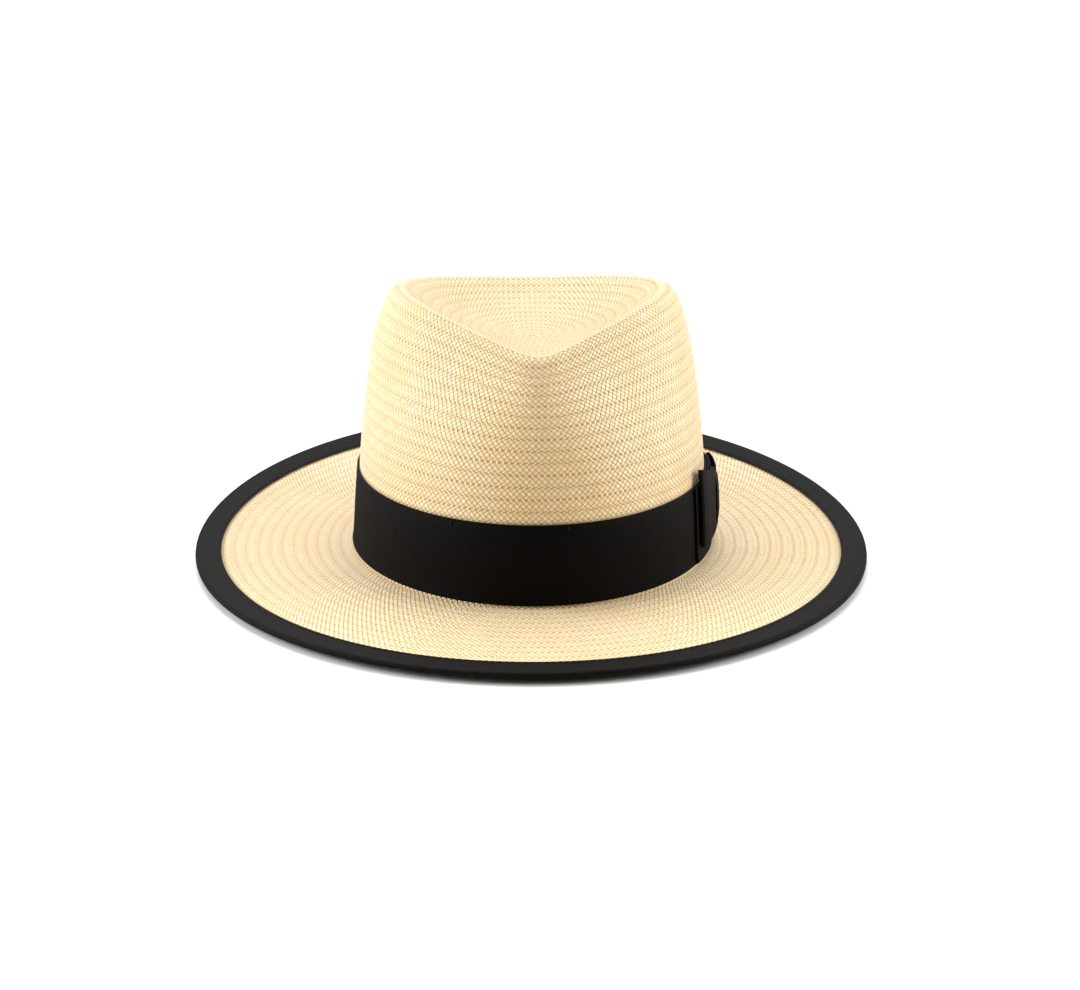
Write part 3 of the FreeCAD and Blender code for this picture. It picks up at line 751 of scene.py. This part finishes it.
# %% Places on the band at the wearer's left
BOW_FRONT, BOW_LENGTH, BOW_STEP = -54.0, 66.0, 3.5
BOW_RISE_FRONT, BOW_RISE_KNOT, BOW_RISE_REAR = 8.0, 5.0, 0.0
LOOP_THICK = 2.0
KNOT_WIDTH, KNOT_HEIGHT, KNOT_THICK = 13.0, 27.0, 1.6
KNOT_Y = BOW_FRONT + BOW_LENGTH / 2
LOOP_LIFT = CLEAR + RIBBON + CLEAR
KNOT_LIFT = LOOP_LIFT + LOOP_THICK + CLEAR
CLOTH = 0.5                   # the bow's ribbon
BOW_RIB_DEPTH = 0.08


def on_band(y, height, lift):
    """A point at y along the hat, this high on the band and this far off its face."""
    b = FOOT_LENGTH + CLEAR + RIBBON
    t = np.arccos(np.clip(-y / b, -1, 1))
    return straw(t, station_at(BAND_FOOT + height), CLEAR + RIBBON + lift)


print("the bow's middle is", -KNOT_Y, "mm in front of the hat's")

# %% Tab under the bow
tab_y = np.linspace(BOW_FRONT, BOW_FRONT + BOW_LENGTH, int(BOW_LENGTH * 4) + 1)
tab_across = np.array([0.0, 0.3, 6.0, 13.0, 19.0, 25.0, 32.0, 37.7, RIBBON_WIDTH])
tab_relief = BOW_RIB_DEPTH / 2 * np.cos(2 * np.pi * tab_y / RIB)[None, :]
tab_middle = on_band(tab_y[None, :], tab_across[:, None], CLEAR + RIBBON / 2 + 0 * tab_relief)
tab_shell = thick_sheet(tab_middle, RIBBON - 0.2, grid_uv(tab_y - BOW_FRONT, tab_across), tab_relief)
bow_tab = new_piece("bow_tab", [tab_shell], BAND_FINISH, "bow_base_tab")


# %% Loops of the bow
def bow_loop(name, side, rise_at_fold, stands_for):
    """side is -1 for the loop to the front and 1 for the one to the back. The path leaves the knot
    close to the tab, runs out, turns through a half circle and comes back on top. Its width closes
    from the ribbon's own at the fold to the gathered width at the knot."""
    reach = BOW_LENGTH / 2 - BOW_STEP
    radius = (LOOP_THICK - CLOTH) / 2
    turn = np.linspace(-np.pi / 2, np.pi / 2, 14)
    out = np.linspace(0.2, reach - radius, 60)
    away = np.concatenate([out, reach - radius + radius * np.cos(turn)[1:-1], out[::-1]])
    belly = 1.2 * (1 - out / reach) ** 0.6
    low = LOOP_LIFT + CLOTH / 2
    fold = radius + radius * np.sin(turn)[1:-1]
    lift = low + np.concatenate([0 * out, fold, 2 * radius + belly[::-1]])
    share = away / reach
    gathered = KNOT_HEIGHT - 2.0
    width = gathered + (RIBBON_WIDTH - gathered) * share ** 0.8
    middle = RIBBON_WIDTH / 2 + BOW_RISE_KNOT + (rise_at_fold - BOW_RISE_KNOT) * share
    across = np.linspace(-0.5, 0.5, 25)[:, None]
    pleats = 0.12 * (1 - share) ** 2 * np.cos(8 * np.pi * across)
    height = middle + across * width
    along = lengths_along(np.stack([away, lift], axis=-1))
    grid = on_band(KNOT_Y + side * away + 0 * height, height, lift + pleats)
    uv = grid_uv(along, across.ravel() * RIBBON_WIDTH)
    relief = BOW_RIB_DEPTH / 2 * np.cos(2 * np.pi * along / RIB)[None, :]
    loop_shell = thick_sheet(grid, CLOTH, uv, relief)
    piece = new_piece(name, [loop_shell], BAND_FINISH, stands_for)


bow_loop("bow_loop_front", -1, BOW_RISE_FRONT, "bow_front_loop")
bow_loop("bow_loop_rear", 1, BOW_RISE_REAR, "bow_rear_loop")

# %% Wrap round the middle of the bow
turn = np.linspace(0, np.pi, 121)
flatness = 0.55
wrap_height = RIBBON_WIDTH / 2 + BOW_RISE_KNOT
half = KNOT_HEIGHT / 2 - CLOTH / 2
heights = wrap_height - half * np.sign(np.cos(turn)) * np.abs(np.cos(turn)) ** flatness
base_lift = CLEAR + RIBBON + CLEAR + CLOTH / 2
top_lift = KNOT_LIFT + KNOT_THICK - CLOTH / 2
lifts = base_lift + (top_lift - base_lift) * np.abs(np.sin(turn)) ** flatness
widths = np.linspace(-0.5, 0.5, 27)
creases = 0.2 * np.cos(6 * np.pi * widths)[:, None] * np.sin(turn)[None, :]
waist = 1 - 0.12 * np.sin(turn)
wrap_y = KNOT_Y + widths[:, None] * KNOT_WIDTH * waist
wrap_grid = on_band(wrap_y, heights[None, :] + 0 * wrap_y, lifts[None, :] + creases)
wrap_along = lengths_along(np.stack([heights, lifts], axis=-1))
wrap_relief = BOW_RIB_DEPTH / 2 * np.cos(2 * np.pi * wrap_along / RIB)[None, :]
wrap_shell = thick_sheet(wrap_grid, CLOTH, grid_uv(wrap_along, widths * KNOT_WIDTH), wrap_relief)
bow_wrap = new_piece("bow_wrap", [wrap_shell], BAND_FINISH, "bow_knot")

# %% [markdown]
# ## The leather inside
# A strip of sheepskin is sewn to the foot of the crown over a reed, a thin cord that keeps its lower
# edge round. It hangs straight below the seam and leans on the straw above it. The strip closes at
# the back of the head, where a small ribbon bow covers the join.


# %% Places on the leather
SWEATBAND_HEIGHT = 36.0
LEATHER_FREE = 6.0            # the leather hangs straight below this height above the brim


def leather_point(t, height, depth):
    """A point on the leather at a height above the table, depth inwards from its outer face. Below
    the brim's crease it hangs straight down from where it leaves the straw."""
    crease = BRIM_TOP + LEATHER_FREE
    point = straw(t, station_at(np.maximum(height, crease) - BRIM_TOP) + 0 * t, -(STRAW + CLEAR + depth))
    point[..., 2] = np.where(height < crease, height, point[..., 2])
    return point


print("the leather leaves the straw", BRIM_TOP + LEATHER_FREE, "mm above the table")


# %% Sweatband
t_leather = np.linspace(-np.pi, np.pi, 721)[:-1]
TOOLED_HEIGHT = 32.0          # a line pressed into the leather near its upper edge
leather_heights = np.array([
    0.0, 0.3, 2.0, 4.5, 7.0, 9.0, 11.2, 15.0, 20.0, 26.0, 31.5, TOOLED_HEIGHT, 32.5, 35.7, SWEATBAND_HEIGHT,
])
from_join = np.abs(np.abs(t_leather) - np.pi) * FOOT_WIDTH
join_line = 0.4 * np.exp(-(from_join / 0.8) ** 2)[None, :]
tooled_line = np.where(leather_heights == TOOLED_HEIGHT, 0.25, 0.0)[:, None]
rounded = np.where(np.isin(leather_heights, leather_heights[[0, -1]]), 0.25, 0.0)[:, None]
depth_inside = LEATHER - np.maximum(join_line, tooled_line) - rounded
leather_inner = leather_point(t_leather[None, :], leather_heights[:, None], depth_inside)
leather_outer = leather_point(t_leather[None, :], leather_heights[:, None], 0 * depth_inside + rounded)
leather_uv = grid_uv(np.linspace(0, 600, len(t_leather) + 1), leather_heights)
new_piece(
    "leather_sweatband", [closed_shell(leather_outer, leather_inner, leather_uv, around=True)],
    LEATHER_FINISH, "sweatband",
)

# %% Reed along the leather's foot
REED_RADIUS = 1.0
t_reed = np.linspace(0, 2 * np.pi, 481)[:-1]
reed_turn = np.linspace(0, 2 * np.pi, 15)
reed_rows = []
for angle in reed_turn[:-1]:
    reach = CLEAR + REED_RADIUS + REED_RADIUS * np.cos(angle)
    row = leather_point(t_reed, 0 * t_reed, -reach + 0 * t_reed)
    row[:, 2] = REED_RADIUS + REED_RADIUS * np.sin(angle)
    reed_rows.append(row)
reed_grid = np.stack(reed_rows + reed_rows[:1])
reed_uv = grid_uv(np.linspace(0, 600, 481), reed_turn)
reed_number = quads(len(reed_turn), len(t_reed), True) % (len(reed_rows) * len(t_reed))
reed_shell = outward(reed_grid[:-1].reshape(-1, 3), [reed_number], [quad_corners(reed_uv)])
new_piece("reed_in_cover", [reed_shell], REED_FINISH, "sweatband_reed")

# %% [markdown]
# ## Stitches
# The seams are hand-fed lockstitch: short dashes of thread that dive into the cloth at both ends.
# Each is a small bowed capsule with a few dozen faces. One function makes any number of them from
# the places where the needle goes in and out.


# %% Stitches from their ends
def stitch_shells(starts, ends, outs, radius):
    """Capsules from starts to ends. Five rings of six points follow the line; the rings grow and
    shrink, and the line bows out by a third of the radius in the middle. Flat hexagons close them."""
    share = np.array([0.0, 0.15, 0.5, 0.85, 1.0])
    girth = np.array([0.45, 0.9, 1.0, 0.9, 0.45])
    bow = radius * np.array([-1.0, -0.15, 0.3, -0.15, -1.0])
    along = (ends - starts) / np.linalg.norm(ends - starts, axis=-1, keepdims=True)
    across = np.cross(along, outs)
    centre = starts[:, None] + share[None, :, None] * (ends - starts)[:, None]
    centre = centre + bow[None, :, None] * outs[:, None]
    turn = np.arange(6) * np.pi / 3
    ring = outs[:, None] * np.cos(turn)[None, :, None] + across[:, None] * np.sin(turn)[None, :, None]
    points = centre[:, :, None] + radius * girth[None, :, None, None] * ring[:, None]
    body = quads(5, 6, True)
    caps = np.array([np.arange(6)[::-1], np.arange(24, 30)])
    lengths = share * np.linalg.norm(ends - starts, axis=-1).mean()
    uv = grid_uv(np.arange(7) / 3.0, lengths * 2)
    one = outward(points[0].reshape(-1, 3), [body, caps], [quad_corners(uv), np.zeros((2, 6, 2))])
    first = np.arange(len(starts))[:, None, None] * 30
    faces = [(group[None] + first).reshape(-1, group.shape[-1]) for group in one[1]]
    corners = [np.tile(group, (len(starts), 1, 1)) for group in one[2]]
    return points.reshape(-1, 3), faces, corners


def row_of_stitches(line, count, length_share):
    """Stitches along a closed line. line(t, lift) gives its points; lift is off the cloth."""
    length = lengths_along(line(FULL_TURN, 0 * FULL_TURN))
    place = np.arange(count) / count * length[-1]
    start, end = (np.interp(place + k * length[-1] / count, length, FULL_TURN) for k in (0.0, length_share))
    outs = line((start + end) / 2, 1 + 0 * start) - line((start + end) / 2, 0 * start)
    outs /= np.linalg.norm(outs, axis=-1, keepdims=True)
    return stitch_shells(line(start, 0 * start), line(end, 0 * end), outs, THREAD / 2)


# %% Rows of stitches
THREAD = 0.5
STITCH_PITCH = 3.0
STITCH_SHARE = 0.72           # a stitch shows for this share of the pitch
STITCH_HEIGHT = 7.4           # the leather's seam, above the table
LEATHER_STITCHES, LEATHER_STITCH_SHARE = 170, 0.7
SEAM_INSET = 1.5
SEAM = station_out(BRIM_WIDTH - BINDING_WIDTH + SEAM_INSET)
SEAM_LIFT = CLEAR + BINDING + THREAD / 2 - 0.1
seam_count = round(rim_length / STITCH_PITCH)


def seam_above(t, lift):
    """The binding's seam: the straw's face at that station, raised by the layers and half a thread."""
    return straw(t, np.full_like(t, SEAM), SEAM_LIFT + lift)


def seam_beneath(t, lift):
    """The same line on the under face, so everything is measured downwards."""
    return straw(t, np.full_like(t, SEAM), -STRAW - SEAM_LIFT - lift)


def seam_in_leather(t, lift):
    """The leather's seam: its inner face at one height, raised by half a thread."""
    return leather_point(t, STITCH_HEIGHT + 0 * t, LEATHER + THREAD / 2 - 0.05 + lift)


new_piece("binding_stitches_above", [row_of_stitches(seam_above, seam_count, STITCH_SHARE)],
          BLACK_THREAD, "binding_stitching_top")
new_piece("binding_stitches_beneath", [row_of_stitches(seam_beneath, seam_count, STITCH_SHARE)],
          BLACK_THREAD, "binding_stitching_under")
new_piece("leather_stitches", [row_of_stitches(seam_in_leather, LEATHER_STITCHES, LEATHER_STITCH_SHARE)],
          NATURAL_THREAD, "sweatband_stitching")

# %% Tacks that hold the band to the crown
TACKS, TACK_LENGTH, TACK_INSET = 10, 2.2, 0.8
tack_t = 2 * np.pi * (np.arange(TACKS) + 0.25) / TACKS
bow_ends = np.array([BOW_FRONT, BOW_FRONT + BOW_LENGTH + TACK_LENGTH])
bow_span = np.arccos(-bow_ends / (FOOT_LENGTH + CLEAR + RIBBON))
tack_t = tack_t[(tack_t < bow_span[0]) | (tack_t > bow_span[1])]
tack_feet = [TACK_INSET, RIBBON_WIDTH - TACK_INSET - TACK_LENGTH]
tack_t, tack_foot = (x.ravel() for x in np.meshgrid(tack_t, tack_feet))
tack_lift = CLEAR + RIBBON + THREAD / 2 - 0.05 + 0 * tack_t
tack_start = straw(tack_t, station_at(BAND_FOOT + tack_foot), tack_lift)
tack_end = straw(tack_t, station_at(BAND_FOOT + tack_foot + TACK_LENGTH), tack_lift)
tack_out = straw(tack_t, station_at(BAND_FOOT + tack_foot), tack_lift + 1) - tack_start
new_piece("band_tacks", [stitch_shells(tack_start, tack_end, tack_out, THREAD / 2)],
          BLACK_THREAD, "band_tack_stitches")

# %% [markdown]
# ## The small bow and the tab at the back
# The bow over the leather's join is a 10 mm ribbon, two loops and a wrap. The slip of paper behind
# the leather is where a hatter would write the size; it is left blank.


# %% Places on the leather at the back
BACK_BOW_WIDTH, BACK_BOW_HEIGHT, BACK_BOW_THICK, BACK_BOW_DROP = 24.0, 9.0, 1.6, 6.0
BOW_DEPTH = STRAW + CLEAR + LEATHER + CLEAR
BOW_MIDDLE = SWEATBAND_HEIGHT - BRIM_TOP - BACK_BOW_DROP - BACK_BOW_HEIGHT / 2
SATIN, SATIN_WIDTH = 0.3, 10.0
GATHERED = 6.5                # width of the satin where the wrap holds it


def on_leather(sideways, height, depth):
    """A point sideways from the middle of the back, in the crown, depth in from the straw's face."""
    return straw(np.pi - sideways / FOOT_WIDTH, station_at(height) + 0 * sideways, -depth)


print("the small bow's middle is", BRIM_TOP + BOW_MIDDLE, "mm above the table")


def small_loop(side):
    """Out from the middle, a half circle, and back on top, narrowing towards the middle."""
    radius = (BACK_BOW_THICK - SATIN) / 2
    reach = BACK_BOW_WIDTH / 2
    turn = np.linspace(-np.pi / 2, np.pi / 2, 10)[1:-1]
    out = np.linspace(0.3, reach - radius, 24)
    away = np.concatenate([out, reach - radius + radius * np.cos(turn), out[::-1]])
    rise = np.concatenate([0 * out, radius + radius * np.sin(turn), 2 * radius + 0 * out])
    depth = rise + BOW_DEPTH + SATIN / 2
    across = np.linspace(-0.5, 0.5, 9)[:, None]
    width = GATHERED + (BACK_BOW_HEIGHT - GATHERED) * (away / reach) ** 0.7
    grid = on_leather(side * away + 0 * across, BOW_MIDDLE + across * width, depth + 0 * across)
    along = lengths_along(np.stack([away, depth], axis=-1))
    return thick_sheet(grid, SATIN, grid_uv(along, across.ravel() * SATIN_WIDTH)), along[-1]


# %% Small bow
wrap_turn = np.linspace(0, np.pi, 25)
wrap_up = BOW_MIDDLE - 3.2 * np.sign(np.cos(wrap_turn)) * np.abs(np.cos(wrap_turn)) ** 0.6
wrap_in = BOW_DEPTH + SATIN / 2 + (BACK_BOW_THICK + 0.2) * np.abs(np.sin(wrap_turn)) ** 0.6
wrap_side = np.linspace(-2.0, 2.0, 9)[:, None]
small_wrap_grid = on_leather(wrap_side + 0 * wrap_up, wrap_up + 0 * wrap_side, wrap_in + 0 * wrap_side)
small_wrap_along = lengths_along(np.stack([wrap_up, wrap_in], axis=-1))
small_wrap = thick_sheet(small_wrap_grid, SATIN, grid_uv(small_wrap_along, wrap_side.ravel()))
left_loop, loop_length = small_loop(-1)
right_loop, _ = small_loop(1)
back_bow = new_piece(
    "join_bow", [left_loop, right_loop, small_wrap], SATIN_FINISH, "sweatband_back_bow"
)

# %% Paper tab
TAB_WIDTH, TAB_HEIGHT, TAB_THICK, TAB_ANGLE = 14.0, 16.0, 0.4, np.radians(152)
TAB_ROUND = 3.0               # radius of its two upper corners
tab_foot = SWEATBAND_HEIGHT - BRIM_TOP + CLEAR
paper_side = np.linspace(-0.5, 0.5, 29)
paper_up = np.linspace(0, TAB_HEIGHT, 25)[:, None]
into_corner = np.clip(paper_up - TAB_HEIGHT + TAB_ROUND, 0, None) / TAB_ROUND
corner = np.sqrt(np.clip(1 - into_corner ** 2, 0, 1))
paper_width = TAB_WIDTH - 2 * TAB_ROUND + 2 * TAB_ROUND * corner
paper_t = TAB_ANGLE + paper_side[None, :] * paper_width / FOOT_WIDTH
paper_depth = STRAW + CLEAR + TAB_THICK / 2 + 0 * paper_t
paper_grid = straw(paper_t, station_at(tab_foot + paper_up) + 0 * paper_t, -paper_depth)
paper = thick_sheet(paper_grid, TAB_THICK, grid_uv(paper_side * TAB_WIDTH, paper_up.ravel()))
new_piece("paper_tab", [paper], PAPER_FINISH, "size_tab")

# %% [markdown]
# ## Floor, light and camera
# The hat stands on a plain white table under soft light. Most of it comes from above and a little
# behind, which lights the brim, the ridge and the dish and leaves the front of the crown in a warm
# half shade; broad lights at both sides lift the walls and the bow. The world behind the hat is
# bright and neutral, and the part in front of it is dim and slightly warm.

# %% Floor
FLOOR = 20.0                  # metres from the middle to each side
floor_corners = [(-FLOOR, -FLOOR, 0), (FLOOR, -FLOOR, 0), (FLOOR, FLOOR, 0), (-FLOOR, FLOOR, 0)]
floor_mesh = bpy.data.meshes.new("floor")
floor_mesh.from_pydata(floor_corners, [], [(0, 1, 2, 3)])
floor = bpy.data.objects.new("floor", floor_mesh)
bpy.context.scene.collection.objects.link(floor)
floor_finish, _, _ = new_finish("white_table", Base_Color=linear("E9E9E9"), Roughness=0.9)
floor_mesh.materials.append(floor_finish)
print("floor is", 2 * FLOOR, "metres across")


# %% Lights
def soft_light(name, kind, power, towards, place=(0, 0, 2), **size):
    """A lamp at place that shines along towards. size holds its shape, angle or sides."""
    light = bpy.data.lights.new(name, kind)
    light.energy = power
    for key, value in size.items():
        setattr(light, key, value)
    lamp = bpy.data.objects.new(name, light)
    bpy.context.scene.collection.objects.link(lamp)
    lamp.location = place
    lamp.rotation_euler = Vector(towards).to_track_quat("-Z", "Y").to_euler()
    print("light", name, "of power", power)


soft_light("overhead", "SUN", 2.35, (0.0, -0.6, -1.0), angle=np.radians(45))
panel = {"shape": "RECTANGLE", "size": 0.9, "size_y": 0.7}
soft_light("left_side", "AREA", 15.0, (1.0, 0.05, -0.35), (-1.1, -0.1, 0.5), **panel)
soft_light("right_side", "AREA", 12.0, (-1.0, 0.05, -0.35), (1.1, -0.1, 0.5), **panel)

# %% World
world = bpy.data.worlds.new("studio")
bpy.context.scene.world = world
world.use_nodes = True
sky = world.node_tree
facing = add(sky, "SeparateXYZ", {0: add(sky, "TexCoord")})
dim_in_front = {1: -0.75, 2: 0.0, 3: 0.08, 4: 0.84}
warm_in_front = {1: -0.6, 2: 0.1, 3: 1.0, 4: 0.0}
strength = add(sky, "MapRange", {0: facing.outputs[1], **dim_in_front}, interpolation_type="SMOOTHSTEP")
warmth = add(sky, "MapRange", {0: facing.outputs[1], **warm_in_front}, interpolation_type="SMOOTHSTEP")
tint = add(sky, "Mix", {0: warmth, 6: (1.0, 1.0, 1.0, 1.0), 7: linear("FFE9C4")}, data_type="RGBA")
sky.links.new(tint.outputs[2], sky.nodes["Background"].inputs["Color"])
sky.links.new(strength.outputs[0], sky.nodes["Background"].inputs["Strength"])
bpy.context.scene.view_settings.view_transform = "Standard"
print("the world's strength goes from", dim_in_front[3], "in front to", dim_in_front[4], "behind")

# %% Camera
AIM = Vector((0.0047, 0.0051, 0.0240))
DISTANCE = 1.0
ELEVATION, AZIMUTH = np.radians(17.0), np.radians(-2.0)
level = np.cos(ELEVATION)
back = Vector((np.sin(AZIMUTH) * level, -np.cos(AZIMUTH) * level, np.sin(ELEVATION)))
camera = bpy.data.objects.new("camera", bpy.data.cameras.new("camera"))
bpy.context.scene.collection.objects.link(camera)
camera.data.lens = 66.5
camera.data.sensor_width = 36.0
camera.location = AIM + back * DISTANCE
camera.rotation_euler = (-back).to_track_quat("-Z", "Y").to_euler()
bpy.context.scene.camera = camera
print("camera stands at", [round(x, 4) for x in camera.location])
